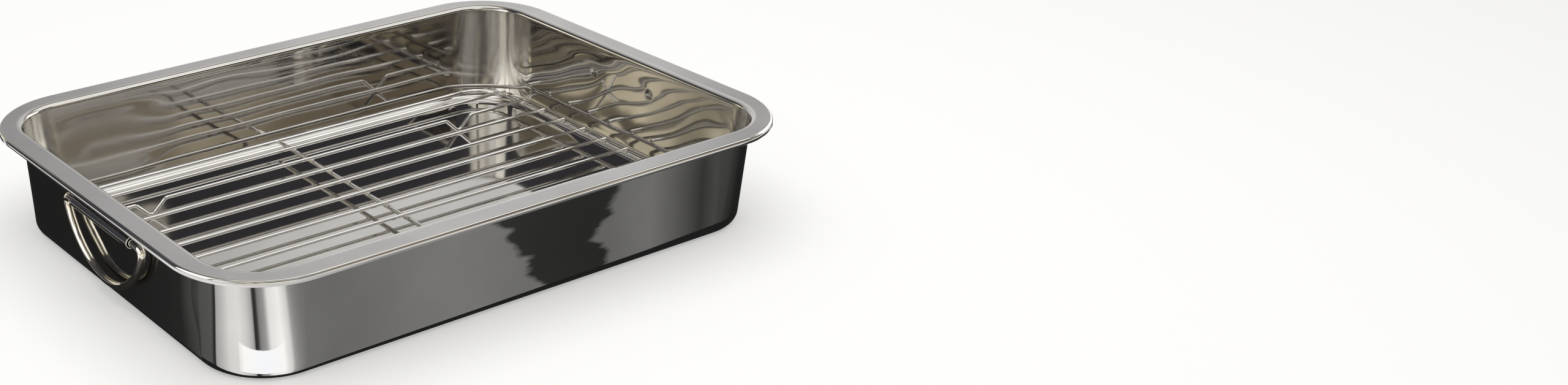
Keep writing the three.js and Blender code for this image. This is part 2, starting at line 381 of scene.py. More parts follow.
def make_pan():
    """The drawn sheet as one closed skin of level rings."""
    insets, heights, corners, ring_finishes = zip(*pan_profile())
    rings = []
    for inset, z, corner in zip(insets, heights, corners):
        points, normals = pan_ring(inset, corner, z)
        points[:, :2] += wall_wave(points, normals)[:, None] * normals
        points[:, 2] += floor_wave(points, inset)
        rings.append(points)
    count = len(rings[0])
    faces, finishes = [], []
    for row in range(len(rings) - 1):
        here, beyond = row * count, (row + 1) * count
        for i in range(count):
            j = (i + 1) % count
            faces.append((here + i, beyond + i, beyond + j, here + j))
        # Only the faces between two rings of the flat rim are satin
        finishes += [min(ring_finishes[row : row + 2])] * count
    pan = add_object("pan_body_fine", np.concatenate(rings), faces)
    pan.data.polygons.foreach_set("material_index", finishes)
    add_grid_uv(pan, rings)
    merge_points(pan, PAN_CREASE)
    return pan


def add_grid_uv(thing, rings):
    """UV in metres for a skin of rings: u along each ring, v from ring to ring."""
    count = len(rings[0])
    middle = rings[len(rings) // 2]
    steps = np.linalg.norm(np.roll(middle, -1, 0) - middle, axis=1)
    u = np.concatenate([[0], np.cumsum(steps)]) * MM
    rows = np.linalg.norm([b[0] - a[0] for a, b in zip(rings, rings[1:])], axis=1)
    v = np.concatenate([[0], np.cumsum(rows)]) * MM
    layer = thing.data.uv_layers.new(name="length_and_girth")
    for polygon in thing.data.polygons:
        columns = [thing.data.loops[k].vertex_index % count for k in polygon.loop_indices]
        wraps = max(columns) - min(columns) > 1
        for k, column in zip(polygon.loop_indices, columns):
            row = thing.data.loops[k].vertex_index // count
            layer.data[k].uv = (u[count] if wraps and column == 0 else u[column], v[row])


# Wires, hinge brackets and handles


def make_wire(name, path, across, diameter, sides=RACK_WIRE_SIDES, closed=False):
    """A round wire along a flat path; across is the path plane's normal."""
    path = np.asarray(path, float)
    apart = np.linalg.norm(np.diff(path, axis=0), axis=1) > SAME_PLACE
    path = path[np.concatenate([[True], apart])]
    across = np.asarray(across, float)
    if closed:
        along = np.roll(path, -1, 0) - np.roll(path, 1, 0)
    else:
        along = np.gradient(path, axis=0)
    along /= np.linalg.norm(along, axis=1)[:, None]
    side = np.cross(along, across)
    angles = np.linspace(0, 2 * math.pi, sides, endpoint=False)
    circles = np.cos(angles)[:, None] * across + np.sin(angles)[:, None] * side[:, None]
    centres = path
    chamfer = 0 if closed else WIRE_CHAMFER_SHARE * diameter
    if not closed:
        first = path[0] + along[0] * chamfer
        last = path[-1] - along[-1] * chamfer
        centres = np.concatenate([path[:1], [first], path[1:-1], [last], path[-1:]])
        circles = np.concatenate([circles[:1], circles[:1], circles[1:-1], circles[-1:], circles[-1:]])
    radii = np.full(len(centres), diameter / 2)
    radii[[0, -1]] -= chamfer
    points = (centres[:, None] + radii[:, None, None] * circles).reshape(-1, 3)
    rings = len(centres)
    faces = []
    for row in range(rings if closed else rings - 1):
        here = row * sides
        beyond = (row + 1) % rings * sides
        for i in range(sides):
            j = (i + 1) % sides
            faces.append((here + i, here + j, beyond + j, beyond + i))
    if not closed:
        faces.append(tuple(range(sides - 1, -1, -1)))
        faces.append(tuple(range(len(points) - sides, len(points))))
    return add_object(name, points, faces, WIRE_CREASE)


def end_wall_x(z):
    slope = WALL_DRAFT / (wall_top_z - wall_foot_z)
    return RIM_LENGTH / 2 - wall_top_inset + SHEET - (wall_top_z - z) * slope


hinge_z = PAN_HEIGHT - BRACKET_AXIS_BELOW_RIM
roll_radius = (BRACKET_BORE + BRACKET_SHEET) / 2
hinge_x = end_wall_x(hinge_z + LEAF_ABOVE_AXIS) + SEAT_GAP + BRACKET_SHEET / 2 + roll_radius


def make_handle(name, sign):
    """The bail on the end at sign * X: two ends in the bracket, an elbow each and an elliptical grip."""
    elbow_y = BRACKET_LENGTH / 2 + HANDLE_ELBOW_BEYOND_BRACKET
    height = hinge_z - HANDLE_ABOVE_TABLE - HANDLE_WIRE / 2 + GRIP_CENTRE_ABOVE_AXIS
    grip_end = GRIP_CENTRE_ABOVE_AXIS + ELBOW_DEPTH
    grip_angle = math.asin(grip_end / height)
    width = elbow_y * math.cos(grip_angle) / (1 - grip_end * GRIP_CENTRE_ABOVE_AXIS / height**2)
    grip_end_y = width * math.cos(grip_angle)
    elbow_start = elbow_y - math.hypot(elbow_y - grip_end_y, ELBOW_DEPTH)
    wire_end = BRACKET_LENGTH / 2 - HANDLE_INSERTION
    inserted = [(y, 0) for y in np.linspace(wire_end, elbow_start, INSERTION_STEPS + 1)]
    elbow = quadratic((elbow_start, 0), (elbow_y, 0), (grip_end_y, -ELBOW_DEPTH), ELBOW_STEPS)
    half_grip = np.linspace(-grip_angle, -QUARTER, HALF_GRIP_STEPS + 1)
    grip = np.stack([width * np.cos(half_grip), GRIP_CENTRE_ABOVE_AXIS + height * np.sin(half_grip)], 1)
    near = np.concatenate([inserted[:-1], elbow, grip[1:]])
    far = near[::-1][1:] * (-1, 1)
    flat = np.concatenate([near, far])
    path = np.stack([np.full(len(flat), sign * hinge_x), flat[:, 0], hinge_z + flat[:, 1]], 1)
    return make_wire(name, path, (1, 0, 0), HANDLE_WIRE, HANDLE_SIDES)


# Places of a bracket's materials in its list
ROLLED, SHEARED = range(2)


def make_bracket(name, sign):
    """The rolled strip on the end at sign * X: a flat leaf whose lower edge is rolled round the wire."""
    half = BRACKET_SHEET / 2
    end = math.pi + ROLL_ANGLE
    inner = arc(0, 0, roll_radius - half, math.pi, end, ROLL_STEPS)
    outer = arc(0, 0, roll_radius + half, math.pi, end, ROLL_STEPS)
    leaf_z = np.linspace(LEAF_ABOVE_AXIS, 0, LEAF_STEPS + 1)[:-1]
    leaf_inner = [(-roll_radius + half, z) for z in leaf_z]
    leaf_outer = [(-roll_radius - half, z) for z in leaf_z[::-1]]
    section = np.concatenate([leaf_inner, inner, outer[::-1], leaf_outer])
    count = len(section)
    points = [
        (sign * (hinge_x + x), y, hinge_z + z)
        for y in (-BRACKET_LENGTH / 2, BRACKET_LENGTH / 2)
        for x, z in section
    ]
    faces = [(i, (i + 1) % count, count + (i + 1) % count, count + i) for i in range(count)]
    finishes = [ROLLED] * count
    # The two sheared ends, in strips from the inner to the outer half of the section
    for i in range(count // 2 - 1):
        faces.append((count - 1 - i, count - 2 - i, i + 1, i))
        faces.append((count + i, count + i + 1, 2 * count - 2 - i, 2 * count - 1 - i))
        finishes += [SHEARED, SHEARED]
    if sign < 0:
        faces = [face[::-1] for face in faces]
    bracket = add_object(name, points, faces, BRACKET_CREASE)
    bracket.data.polygons.foreach_set("material_index", finishes)
    bevel = bracket.modifiers.new("rounded_edges", "BEVEL")
    bevel.width = BRACKET_EDGE_ROUND * MM
    bevel.segments = 3
    bevel.limit_method = "ANGLE"
    bevel.angle_limit = math.radians(BRACKET_BEVEL_CREASE)
    return bracket


# Rack

frame_half_length = RIM_LENGTH / 2 - wall_foot_inset - FRAME_END_CLEARANCE - FRAME_WIRE / 2
frame_half_width = RIM_WIDTH / 2 - wall_foot_inset - FRAME_SIDE_CLEARANCE - FRAME_WIRE / 2
frame_z = SHEET + FRAME_ABOVE_FLOOR
bar_z = frame_z + (FRAME_WIRE + BAR_WIRE) / 2 + SEAT_GAP
bar_pitch = 2 * frame_half_width / (BAR_COUNT + 1)
foot_tip_z = SHEET + SEAT_GAP + BAR_WIRE / 2


def bar_y(number):
    return (number - (BAR_COUNT + 1) / 2) * bar_pitch


def make_rack_frame():
    """The frame wire, welded into a closed ring with four round corners."""
    corner = FRAME_CORNER_RADIUS
    straight_x = frame_half_length - corner
    straight_y = frame_half_width - corner
    turns = ((1, -1), (1, 1), (-1, 1), (-1, -1))
    flat = np.concatenate([
        arc(sx * straight_x, sy * straight_y, corner, (i - 1) * QUARTER, i * QUARTER, FRAME_CORNER_STEPS)
        for i, (sx, sy) in enumerate(turns)
    ])
    path = np.hstack([flat, np.full((len(flat), 1), frame_z)])
    return make_wire("rack_frame_fine", path, (0, 0, 1), FRAME_WIRE, closed=True)


def foot_path(centre_x):
    """A V-shaped foot in x and z: shoulder, leg, rounded tip, leg, shoulder."""
    half_width = FOOT_WIDTH / 2
    radius = FOOT_BEND_RADIUS
    shoulder_z = bar_z - radius
    spare = 2 * radius - (bar_z - foot_tip_z)
    leg = math.asin(2 * radius / math.hypot(half_width, spare)) - math.atan2(spare, half_width)
    return np.concatenate([
        arc(centre_x - half_width, shoulder_z, radius, QUARTER, QUARTER - leg, FOOT_SHOULDER_STEPS),
        arc(centre_x, foot_tip_z + radius, radius, -QUARTER - leg, -QUARTER + leg, FOOT_TIP_STEPS),
        arc(centre_x + half_width, shoulder_z, radius, QUARTER + leg, QUARTER, FOOT_SHOULDER_STEPS),
    ])


def make_rack_bar(number):
    """One long bar, with a slight bow as pulled wire has."""
    reach = frame_half_length + BAR_OVERHANG
    foot_x = frame_half_length - FOOT_FROM_FRAME_END
    feet = [foot_path(-foot_x), foot_path(foot_x)] if number in FOOT_BARS else []
    stops = [-reach] + [edge for foot in feet for edge in (foot[0][0], foot[-1][0])] + [reach]
    runs = [
        [(x, bar_z) for x in np.linspace(start, end, RUN_STEPS + 1)]
        for start, end in zip(stops[::2], stops[1::2])
    ]
    pieces = [runs[0]]
    for foot, run in zip(feet, runs[1:]):
        pieces += [foot[1:-1], run]
    x, z = np.concatenate(pieces).T
    bow_length = WIRE_BOW_LENGTH + WIRE_BOW_LENGTH_STEP * number
    bow = WIRE_BOW * np.sin(x / bow_length + WIRE_BOW_START_STEP * number)
    path = np.stack([x, bar_y(number) + bow, z], 1)
    return make_wire(f"rack_bar_{number}_fine", path, (0, 1, 0), BAR_WIRE)


def make_cross_bar():
    reach = frame_half_width - FRAME_WIRE / 2
    path = [(0, y, frame_z) for y in np.linspace(-reach, reach, RUN_STEPS + 1)]
    return make_wire("rack_cross_bar_fine", path, (0, 0, 1), FRAME_WIRE)


def make_rack_welds():
    """The small pressed nuggets where the bars are welded to the frame and the cross bar."""
    joint_z = frame_z + FRAME_WIRE / 2 + SEAT_GAP / 2
    places = [
        (x, bar_y(number), joint_z)
        for number in range(1, BAR_COUNT + 1)
        for x in (-frame_half_length, 0, frame_half_length)
    ]
    places += [(0, sign * (frame_half_width - FRAME_WIRE / 2), frame_z) for sign in (-1, 1)]
    polar = np.linspace(0, math.pi, NUGGET_ROWS + 1)
    turn = np.linspace(0, 2 * math.pi, NUGGET_COLUMNS, endpoint=False)
    polar, turn = (angles.ravel() for angles in np.meshgrid(polar, turn, indexing="ij"))
    ball = np.stack([np.sin(polar) * np.cos(turn), np.sin(polar) * np.sin(turn), np.cos(polar)], 1)
    points = np.concatenate([np.array(place) + ball * NUGGET_RADII for place in places])
    faces = []
    for first in range(0, len(points), len(ball)):
        for row in range(NUGGET_ROWS):
            here = first + row * NUGGET_COLUMNS
            below = here + NUGGET_COLUMNS
            for i in range(NUGGET_COLUMNS):
                j = (i + 1) % NUGGET_COLUMNS
                faces.append((here + i, below + i, below + j, here + j))
    welds = add_object("rack_welds", points, faces)
    merge_points(welds, NUGGET_CREASE)
    return welds


# Materials


class Tree:
    """A node tree under construction."""

    def __init__(self, owner):
        owner.use_nodes = True
        self.tree = owner.node_tree
        self.tree.nodes.clear()

    def feed(self, socket, value):
        """Links a socket to another node's output, or sets its value."""
        if isinstance(value, bpy.types.NodeSocket):
            self.tree.links.new(value, socket)
        else:
            socket.default_value = value

    def add(self, kind, values=None, **settings):
        node = self.tree.nodes.new(kind)
        for key, value in settings.items():
            setattr(node, key, value)
        for key, value in (values or {}).items():
            self.feed(node.inputs[key], value)
        return node

    def output(self, shader, world=False):
        kind = "ShaderNodeOutputWorld" if world else "ShaderNodeOutputMaterial"
        self.add(kind, {"Surface": shader.outputs[0]})

    def maths(self, operation, a, b=0.0):
        return self.add("ShaderNodeMath", {0: a, 1: b}, operation=operation).outputs[0]

    def remap(self, value, low, high, to_low, to_high):
        values = {"Value": value, "From Min": low, "From Max": high, "To Min": to_low, "To Max": to_high}
        return self.add("ShaderNodeMapRange", values).outputs["Result"]

    def noise(self, vector, scale, detail, stretch=(1, 1, 1)):
        stretched = self.add("ShaderNodeVectorMath", {0: vector, 1: stretch}, operation="MULTIPLY")
        values = {"Vector": stretched.outputs[0], "Scale": scale, "Detail": detail}
        return self.add("ShaderNodeTexNoise", values).outputs["Fac"]

    def mix_colour(self, share, a, b):
        values = {"Factor": share, "A": a, "B": b}
        node = self.add("ShaderNodeMix", data_type="RGBA")
        for socket in node.inputs:
            if socket.enabled and socket.name in values:
                self.feed(socket, values[socket.name])
        return next(socket for socket in node.outputs if socket.enabled)


def colour(red, green, blue):
    return (red, green, blue, 1)


def grey(value):
    return colour(value, value, value)


def dull_share(tree, place):
    """How dull the stretched sheet is, 0 to 1: in the pan's upright corners and on its bulged back wall."""
    parts = tree.add("ShaderNodeSeparateXYZ", {0: place}).outputs

    def change(value, limits, start=0, end=1):
        low, high = limits
        return tree.remap(value, low * MM, high * MM, start, end)

    by_end = change(tree.maths("ABSOLUTE", parts["X"]), DULL_CORNER_X)
    by_side = change(tree.maths("ABSOLUTE", parts["Y"]), DULL_CORNER_Y)
    by_bulge = change(parts["X"], DULL_BULGE_X, DULL_BULGE_SHARE, 0)
    by_back = change(parts["Y"], DULL_CORNER_Y)
    above_floor = change(parts["Z"], DULL_ABOVE_FLOOR)
    corners = tree.maths("MULTIPLY", by_end, by_side)
    bulged = tree.maths("MULTIPLY", by_bulge, by_back)
    return tree.maths("MULTIPLY", tree.maths("MAXIMUM", corners, bulged), above_floor)


def steel(name, light, dark, roughness, grain, scratch=0.0, haze=0.0):
    """Polished steel: cloudy tint, smudged roughness, drawn grain, and perhaps hair scratches and haze.

    light and dark are the tints of its clouds; roughness is (least, most); grain is (repeats per metre
    along u, along v, bump height in mm); scratch is a depth in mm; haze is the roughness added where
    the drawn pan is dull.
    """
    material = bpy.data.materials.new(name)
    tree = Tree(material)
    place = tree.add("ShaderNodeTexCoord").outputs
    cloud = tree.noise(place["Object"], scale=24, detail=4)
    smudge = tree.noise(place["Object"], scale=75, detail=6)
    along, across, height = grain
    lines = tree.noise(place["UV"], scale=1, detail=4, stretch=(along, across, 1))
    base = tree.mix_colour(tree.remap(cloud, 0.35, 0.65, 0, 1), light, dark)
    least, most = roughness
    streaky = tree.maths("ADD", tree.maths("MULTIPLY", smudge, 0.6), tree.maths("MULTIPLY", lines, 0.4))
    rough = tree.remap(streaky, 0.3, 0.7, least, most)
    if haze:
        dull = tree.maths("MULTIPLY", dull_share(tree, place["Object"]), haze)
        rough = tree.maths("ADD", rough, dull)
    relief = tree.maths("MULTIPLY", lines, height)
    if scratch:
        hair = tree.noise(place["Object"], scale=1, detail=2, stretch=(35, 900, 900))
        cut = tree.remap(hair, 0.68, 0.74, 0, scratch)
        relief = tree.maths("SUBTRACT", relief, cut)
    bump = tree.add("ShaderNodeBump", {"Height": relief, "Distance": MM, "Strength": 1.0})
    shader = tree.add("ShaderNodeBsdfPrincipled", {
        "Base Color": base, "Metallic": 1.0, "Roughness": rough, "Normal": bump.outputs[0],
    })
    tree.output(shader)
    return material


def ramp(tree, value, stops):
    """The colour of a ramp through stops of (position, colour), scaled to a peak of 1, and that peak."""
    node = tree.add("ShaderNodeValToRGB", {"Fac": value})
    elements = node.color_ramp.elements
    while len(elements) < len(stops):
        elements.new(0.5)
    peak = max(max(shade[:3]) for position, shade in stops)
    for element, (position, shade) in zip(elements, stops):
        element.position = position
        element.color = colour(*(part / peak for part in shade[:3]))
    return node.outputs["Color"], peak


def frayed_band(tree, place, along, across):
    """A share of light: 1, but little inside a leaning band with frayed edges."""
    fray = tree.noise(place, scale=1, detail=7, stretch=(4, 4.5, 1))
    centre = tree.remap(across, 0, 1, 0.53, 0.465)
    half_width = tree.remap(across, 0, 1, 0.06, 0.13)
    offset = tree.maths("ABSOLUTE", tree.maths("SUBTRACT", along, centre))
    offset = tree.maths("SUBTRACT", offset, half_width)
    offset = tree.maths("ADD", offset, tree.remap(fray, 0.2, 0.8, -0.045, 0.045))
    return tree.remap(offset, -0.006, 0.01, 0.17, 1)


def glow(name, stops, fade=None, banded=False):
    """A card's light: radiance stops along u, perhaps stops of its fading along v and a dark band."""
    material = bpy.data.materials.new(name)
    tree = Tree(material)
    place = tree.add("ShaderNodeTexCoord").outputs["UV"]
    parts = tree.add("ShaderNodeSeparateXYZ", {0: place}).outputs
    along, across = parts["X"], parts["Y"]
    light, strength = ramp(tree, along, stops)
    if fade:
        share, peak = ramp(tree, across, fade)
        strength = tree.maths("MULTIPLY", share, strength * peak)
    if banded:
        strength = tree.maths("MULTIPLY", frayed_band(tree, place, along, across), strength)
    tree.output(tree.add("ShaderNodeEmission", {"Color": light, "Strength": strength}))
    material.cycles.emission_sampling = "NONE"
    return material


def make_floor_material():
    """Pale floor: lit for its shadow, and as white to the camera and in the steel."""
    material = bpy.data.materials.new("pale_floor")
    tree = Tree(material)
    path = tree.add("ShaderNodeLightPath").outputs
    seen = tree.maths("MAXIMUM", path["Is Camera Ray"], path["Is Glossy Ray"])
    seen = tree.maths("MAXIMUM", seen, path["Is Transmission Ray"])
    paper = tree.add("ShaderNodeBsdfDiffuse", {"Color": grey(FLOOR_PAPER)})
    strength = tree.maths("MULTIPLY", seen, FLOOR_LIFT)
    lift = tree.add("ShaderNodeEmission", {"Color": grey(1), "Strength": strength})
    tree.output(tree.add("ShaderNodeAddShader", {0: paper.outputs[0], 1: lift.outputs[0]}))
    material.cycles.emission_sampling = "NONE"
    return material


# Stage


def greys(*stops):
    """Light stops of plain grey from pairs of (position, radiance)."""
    return [(position, grey(value)) for position, value in stops]


def tints(*stops):
    """Light stops from rows of (position, red, green, blue)."""
    return [(position, colour(*parts)) for position, *parts in stops]


def even(shade):
    """Light stops of one colour all along a card."""
    return [(0, shade), (1, shade)]


# Near-black light of the table boards: painted shade on the board round the pan's foot, and a dark table on
# the others.
SHADE = even(grey(0.02))
DARK = tints((0, 0.06, 0.06, 0.07), (1, 0.075, 0.075, 0.09))
WHITE = even(colour(1.9, 1.88, 1.77))
MUTED = even(colour(0.8, 0.78, 0.7))


def make_floor():
    half = FLOOR_HALF
    points = [(-half, -half, 0), (half, -half, 0), (half, half, 0), (-half, half, 0)]
    floor = add_object("floor", points, [(0, 1, 2, 3)])
    floor.data.materials.append(make_floor_material())


def finish_card(card, stops, **pattern):
    """Gives a card its light and hides it from everything but polished steel."""
    card.data.materials.append(glow(card.name + "_light", stops, **pattern))
    card.visible_camera = False
    card.visible_diffuse = False
    card.visible_shadow = False
    card.visible_transmission = False
    card.visible_volume_scatter = False


def make_card(name, corners, stops):
    """A flat four-cornered card; its light changes from its first corner towards the second."""
    card = add_object(name, corners, [(0, 1, 2, 3)])
    layer = card.data.uv_layers.new(name="card")
    for k, uv in enumerate(((0, 0), (1, 0), (1, 1), (0, 1))):
        layer.data[k].uv = uv
    finish_card(card, stops)


def upright_card(name, left, right, foot, top, stops):
    """An upright card between two level points, from its foot's height to its top's."""
    make_card(name, [(*left, foot), (*right, foot), (*right, top), (*left, top)], stops)


def level_card(name, low, high, z, stops):
    """A card lying level between two opposite corners."""
    (left, near), (right, far) = low, high
    make_card(name, [(left, near, z), (right, near, z), (right, far, z), (left, far, z)], stops)


outer_corner = fillet_corner(wall_foot_inset - SHEET)
outer_half_x = RIM_LENGTH / 2 - wall_foot_inset + SHEET - outer_corner
outer_half_y = RIM_WIDTH / 2 - wall_foot_inset + SHEET - outer_corner
left_way = 2 * outer_half_y
corner_way = outer_corner * QUARTER
front_way = 2 * outer_half_x


def wall_point(way):
    """A level place on the outer wall, some way round from the left wall's far end, and its normal."""
    down_left = np.clip(way, 0, left_way)
    first_turn = np.clip(way - left_way, 0, corner_way)
    along_front = np.clip(way - left_way - corner_way, 0, front_way)
    second_turn = np.clip(way - left_way - corner_way - front_way, 0, corner_way)
    angle = math.pi + (first_turn + second_turn) / outer_corner
    outward = np.array([math.cos(angle), math.sin(angle)])
    centre = np.array([along_front - outer_half_x, outer_half_y - down_left])
    return centre + outer_corner * outward, outward


def mirrored_place(way, height):
    """The place on the table that the camera sees mirrored in the outer wall at a height."""
    place, outward = wall_point(way)
    point = np.array([*place, height])
    normal = np.array([*outward, 0])
    ray = point - np.array(CAMERA_PLACE)
    ray -= 2 * ray.dot(normal) * normal
    return (point - ray * height / ray[2])[:2]


def make_strip(name, edges, z, stops, **pattern):
    """A card on the table between two long edges, given as pairs of level places, lit along them."""
    steps = len(edges) - 1
    points = [(*place, z) for pair in edges for place in pair]
    faces = [(2 * i, 2 * i + 1, 2 * i + 3, 2 * i + 2) for i in range(steps)]
    strip = add_object(name, points, faces)
    layer = strip.data.uv_layers.new(name="card")
    for loop in strip.data.loops:
        step, row = divmod(loop.vertex_index, 2)
        layer.data[loop.index].uv = (step / steps, row)
    finish_card(strip, stops, **pattern)


def make_skirt(name, ways, foot, top, z, stops, **pattern):
    """A card on the table where the outer wall mirrors it.

    ways are its first and last place round the wall; foot and top are the wall's heights that mirror its
    two long edges, at even steps along it.
    """
    edges = []
    for share in np.linspace(0, 1, STRIP_STEPS + 1):
        way = ways[0] + share * (ways[1] - ways[0])
        heights = [np.interp(share, np.linspace(0, 1, len(edge)), edge) for edge in (foot, top)]
        edges.append([mirrored_place(way, height) for height in heights])
    make_strip(name, edges, z, stops, **pattern)


def make_apron(name, ways, reach, z, stops, **pattern):
    """A card on the table along the far walls, from their foot outward.

    ways are its first and last place round the walls, from the right wall's near end.
    """
    edges = []
    for way in np.linspace(*ways, STRIP_STEPS + 1):
        place, outward = wall_point(way)
        edges.append((-place, -place - reach * outward))
    make_strip(name, edges, z, stops, **pattern)


def make_table_cards():
    """Cards on the table beside the pan, which its outer walls and its turned-down edge mirror."""
    # Painted shade: the near-black board under and round the pan's foot stands in for its contact shadow,
    # which the walls' foot and fillet mirror.
    level_card("painted_shade_board", (-172, -142), (215, 128), BOARD_Z, SHADE)
    level_card("right_board", (150, -60), (420, 420), BOARD_Z, SHADE)
    level_card("back_board", (-206, 96), (150, 420), BOARD_Z, SHADE)
    level_card("left_board", (-430, 40), (-255, 345), BOARD_Z, SHADE)
    corner_start = left_way
    front_start = corner_start + corner_way
    front_end = front_start + front_way
    skirt_end = front_end + 0.75 * corner_way
    make_apron(
        "far_apron", (outer_half_y + APRON_START, front_end), APRON_REACH, SKIRT_Z,
        greys(
            (0, 0.02), (0.1, 0.1), (0.18, 0.2), (0.2, 0.35), (0.225, 0.95), (0.245, 1), (0.262, 0.3),
            (0.275, 0.12), (0.29, 0.85), (0.305, 0.9), (0.325, 0.4), (0.37, 0.26), (0.6, 0.32),
            (0.85, 0.2), (1, 0.04),
        ),
        fade=greys((0, 0.2), (0.12, 0.6), (0.4, 1)),
    )
    make_skirt(
        "left_skirt", (0, corner_start), (2, 2), (46, 47, 62, 62, 62), SKIRT_Z,
        greys((0, 0.02), (0.6, 0.02), (0.9, 0.03), (1, 0.09)),
    )
    make_skirt(
        "corner_skirt", (corner_start, front_start), (5, 4, 1, 0, 0, 0, 0, 0.5), (52, 52), SKIRT_Z,
        greys(
            (0, 0.05), (0.02, 0.12), (0.15, 0.14), (0.175, 0.04), (0.19, 0.04), (0.205, 0.6), (0.27, 0.78),
            (0.34, 1.05), (0.44, 1.12), (0.51, 0.9), (0.56, 0.6), (0.575, 0.04), (0.6, 0.06), (0.62, 0.32),
            (0.67, 0.5), (0.71, 1.2), (0.8, 1.4), (0.87, 1), (0.9, 0.5), (0.94, 0.36), (1, 0.25),
        ),
    )
    make_skirt(
        "corner_paper", (corner_start + 0.43 * corner_way, corner_start + 0.85 * corner_way),
        (3, 2, 1.5, 2, 3), (16.5, 14.6, 13.5, 13, 12.9, 13.2, 14, 15.8, 19), PAPER_Z,
        greys((0, 1.3), (0.1, 1.55)) + tints((0.5, 1.45, 1.5, 1.6)) + greys((0.9, 1.5), (1, 1.1)),
    )
    make_skirt(
        "front_skirt", (front_start, skirt_end), (0.5, 2, 4, 8), (54, 54), SKIRT_Z,
        greys(
            (0, 0.24), (0.05, 0.23), (0.28, 0.29), (0.6, 0.2), (0.7, 0.25), (0.77, 0.14), (0.817, 0.055),
            (0.85, 0.1), (0.875, 0.05), (0.9, 0.02), (1, 0.02),
        ),
        banded=True,
    )
    make_skirt(
        "edge_skirt", (0, skirt_end), (62, 62), (74, 74), SKIRT_Z,
        greys(
            (0, 0.12), (0.15, 0.08), (0.28, 0.08), (0.325, 1.1), (0.37, 1.2), (0.42, 0.8), (0.47, 0.45),
            (0.67, 0.2), (0.88, 0.06), (1, 0.03),
        ),
    )


def make_front_cards():
    """Cards in front of the pan, which its back wall mirrors: olive below, dark, and pale on top."""
    left, gap, right = ((x, FRONT_Y) for x in (-60, 95, 900))
    olive = tints(
        (0, 0.36, 0.305, 0.225), (0.1, 0.32, 0.27, 0.2), (0.165, 0.33, 0.28, 0.205),
        (0.215, 0.58, 0.51, 0.39), (0.25, 0.48, 0.42, 0.315), (0.3, 0.29, 0.245, 0.18),
        (0.345, 0.25, 0.215, 0.16), (0.38, 0.3, 0.262, 0.195), (0.4, 0.55, 0.49, 0.375),
        (0.425, 0.31, 0.27, 0.2), (0.5, 0.25, 0.215, 0.16),
    )
    pale = greys((0, 0.06), (0.2, 0.06)) + tints(
        (0.25, 1.2, 1.17, 1.08), (0.6, 1.1, 1.07, 0.98), (1, 0.6, 0.58, 0.52))
    upright_card("front_low_card", left, right, 60, 178, olive)
    upright_card("front_low_flag", left, right, 178, 224, DARK)
    upright_card("front_flag", gap, right, 224, 370, DARK)
    upright_card("front_high_card", left, right, 370, ROOM_TOP, greys((0, 1.4), (1, 1.3)))
    upright_card("front_gap_card", left, gap, 224, 340, pale)


def make_left_cards():
    """Cards to the left of the pan: dark and khaki towards the back, white beside the handle."""
    khaki = tints(
        (0, 0.45, 0.41, 0.31), (0.06, 0.5, 0.46, 0.35), (0.1, 0.92, 0.85, 0.66), (0.2, 0.92, 0.85, 0.66),
        (0.24, 1.35, 1.27, 1.04), (0.34, 1.3, 1.22, 1), (0.38, 0.85, 0.78, 0.6),
    )
    near_start, corner, far_end = ((LEFT_NEAR_X, y) for y in (150, 340, 1200))
    side_start, side_end, side_far = ((LEFT_FAR_X, y) for y in (-110, 140, 340))
    upright_card("left_near_flag", near_start, corner, 10, ROOM_TOP, DARK)
    upright_card("left_far_flag", side_end, side_far, 10, ROOM_TOP, DARK)
    upright_card("left_low_card", corner, far_end, 30, 288, khaki)
    upright_card("left_flag", corner, far_end, 288, ROOM_TOP, DARK)
    upright_card("side_card", side_start, side_end, 60, 312, WHITE)
    upright_card("side_strip", side_start, side_end, 312, 372, MUTED)
    upright_card("side_high_card", side_start, side_end, 372, 440, WHITE)


def make_camera_cards():
    """Cards one above another between the camera and the pan, seen only in its steel."""
    ends = ((-740, -170), (-80, -700))
    warm = greys((0, 1.5), (0.15, 1.4)) + tints(
        (0.28, 0.6, 0.55, 0.45), (0.41, 0.25, 0.23, 0.2), (0.5, 0.7, 0.65, 0.52), (0.6, 1.3, 1.2, 0.97),
        (1, 1.35, 1.25, 1.02))
    upright_card("camera_low_card", *ends, 40, 185, warm)
    for foot, top, radiance in ((185, 245, 0.4), (245, 290, 1.3), (290, 335, 0.35)):
        patch = (radiance, 0.92 * radiance, 0.73 * radiance)
        patchy = greys((0, 1.4), (0.26, 1.25)) + tints(
            (0.33, 0.8, 0.74, 0.6), (0.39, 1.3, 1.2, 0.98), (0.44, 1.7, 1.58, 1.28), (0.47, 1.6, 1.5, 1.2),
            (0.49, *patch), (0.58, *patch), (0.61, 0.22, 0.2, 0.16), (1, 0.22, 0.2, 0.16))
        upright_card(f"camera_card_{foot}", *ends, foot, top, patchy)
    dim = tints((0, 0.34, 0.31, 0.24), (0.58, 0.34, 0.31, 0.24), (0.61, 0.1, 0.09, 0.08))
    upright_card("camera_dim_card", *ends, 335, 442, dim)
    bright = greys((0, 1.3), (0.3, 1.4)) + tints(
        (0.42, 0.9, 0.88, 0.8), (0.5, 0.85, 0.83, 0.75), (0.6, 1.3, 1.27, 1.17), (1, 1.3, 1.27, 1.17))
    upright_card("camera_high_card", *ends, 442, 590, bright)
    upright_card("camera_flag", *ends, 590, ROOM_TOP, DARK)


